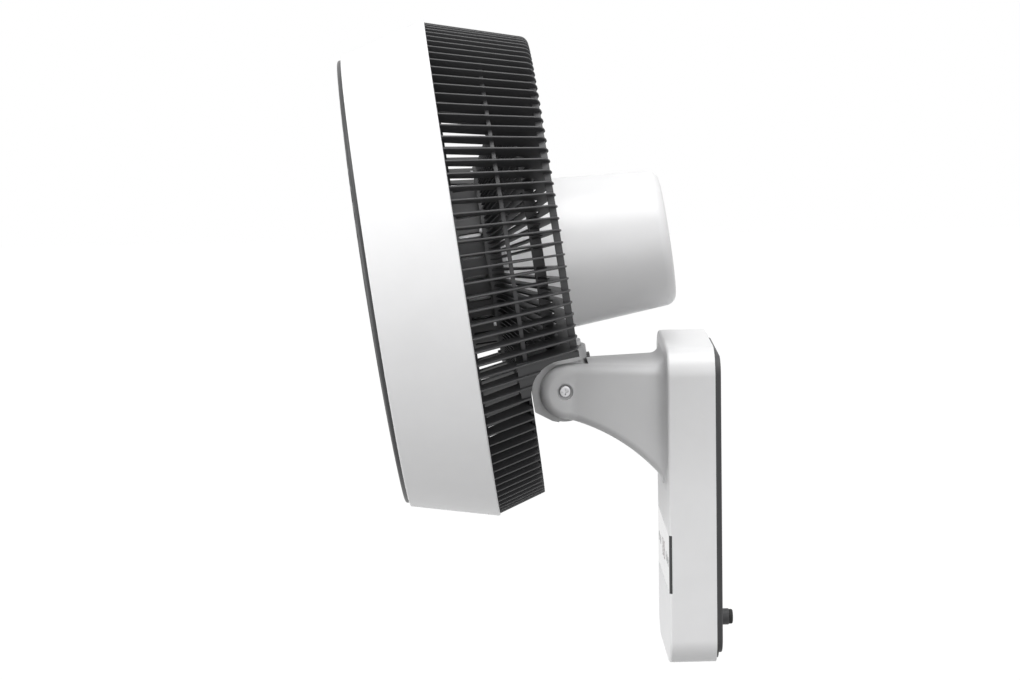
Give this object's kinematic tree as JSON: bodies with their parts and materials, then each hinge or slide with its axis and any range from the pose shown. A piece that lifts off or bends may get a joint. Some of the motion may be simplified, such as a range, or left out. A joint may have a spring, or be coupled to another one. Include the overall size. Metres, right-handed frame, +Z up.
{
  "type": "wall mounted fan",
  "caption": "Wall mounted air-circulator fan: caged fan head in a white shroud, tilting and swinging on a knuckle at the end of a short arm from a flat wall box.",
  "frame": {"origin": "middle of the four wall-screw holes, on the back plate's rear face, which lies on the wall", "axes": "+Z up, +Y into the wall, so the fan faces -Y; X runs along the tilt pivot"},
  "size_m": [0.3604, 0.2804, 0.4638],
  "materials": {
    "white_plastic": "satin white moulded plastic",
    "grey_plastic": "satin light grey moulded plastic",
    "dark_plastic": "satin charcoal moulded plastic",
    "plate_plastic": "matte dark grey moulded plastic",
    "black_panel": "polished black touch band",
    "rubber": "matte black rubber",
    "steel": "zinc plated steel",
    "aluminium": "cast aluminium",
    "copper": "enamelled copper wire",
    "board": "green solder mask",
    "nylon": "natural nylon",
    "magnet": "sintered ferrite",
    "display": "dark red display block"
  },
  "bodies": {
    "wall_unit": {"wall_housing": "white_plastic", "back_plate": "plate_plastic", "back_plate_screws": "steel", "control_panel": "black_panel", "display_board": "board", "display_digits": "display", "ir_receiver": "black_panel", "main_board": "board", "power_module": "black_panel", "board_screws": "steel", "terminal_block": "nylon", "cord_gland": "plate_plastic", "cord_grommet": "rubber", "arm": "white_plastic", "arm_screws": "steel", "pivot_bolt": "steel", "pivot_nut": "steel", "friction_washers": "nylon"},
    "knuckle": {"knuckle_upper": "grey_plastic", "knuckle_lower": "grey_plastic", "knuckle_screws": "steel", "pivot_sleeve": "steel", "tilt_stop": "rubber", "yaw_post": "steel", "yaw_gear": "nylon", "retaining_ring": "steel", "thrust_washer": "nylon"},
    "head": {"neck_bracket": "aluminium", "yaw_motor": "steel", "yaw_motor_screws": "steel", "shroud": "white_plastic", "front_grille": "dark_plastic", "grille_cap": "dark_plastic", "rear_cage": "dark_plastic", "cage_screws": "steel", "motor_plate": "aluminium", "motor_front_cover": "dark_plastic", "motor_housing": "white_plastic", "housing_screws": "steel", "bearing_front": "steel", "bearing_rear": "steel", "stator_core": "steel", "stator_windings": "copper", "motor_board": "board"},
    "yaw_pinion": {"yaw_pinion": "nylon"},
    "rotor": {"rotor_bell": "steel", "rotor_magnets": "magnet", "shaft": "steel", "impeller": "dark_plastic", "spinner_nut": "dark_plastic"}
  },
  "joints": [
    {"name": "tilt", "type": "hinge", "parent": "wall_unit", "child": "knuckle", "pos_m": [0, -0.11, 0.0814], "axis": [1, 0, 0], "range_deg": [-7.7, 27.5]},
    {"name": "yaw", "type": "hinge", "parent": "knuckle", "child": "head", "pos_m": [0, -0.11, 0.0814], "axis": [0, -0.134, 0.991], "range_deg": [-30, 30]},
    {"name": "yaw_pinion_turn", "type": "hinge", "parent": "head", "child": "yaw_pinion", "pos_m": [0, -0.08919, 0.08421], "axis": [0, -0.134, 0.991], "range_deg": [-60, 60]},
    {"name": "fan_spin", "type": "hinge", "parent": "head", "child": "rotor", "pos_m": [0, -0.18178, 0.16968], "axis": [0, 0.991, 0.134], "continuous": true}
  ],
  "couplings": [
    {"joint": "yaw_pinion_turn", "follows": "yaw", "ratio": 2}
  ]
}
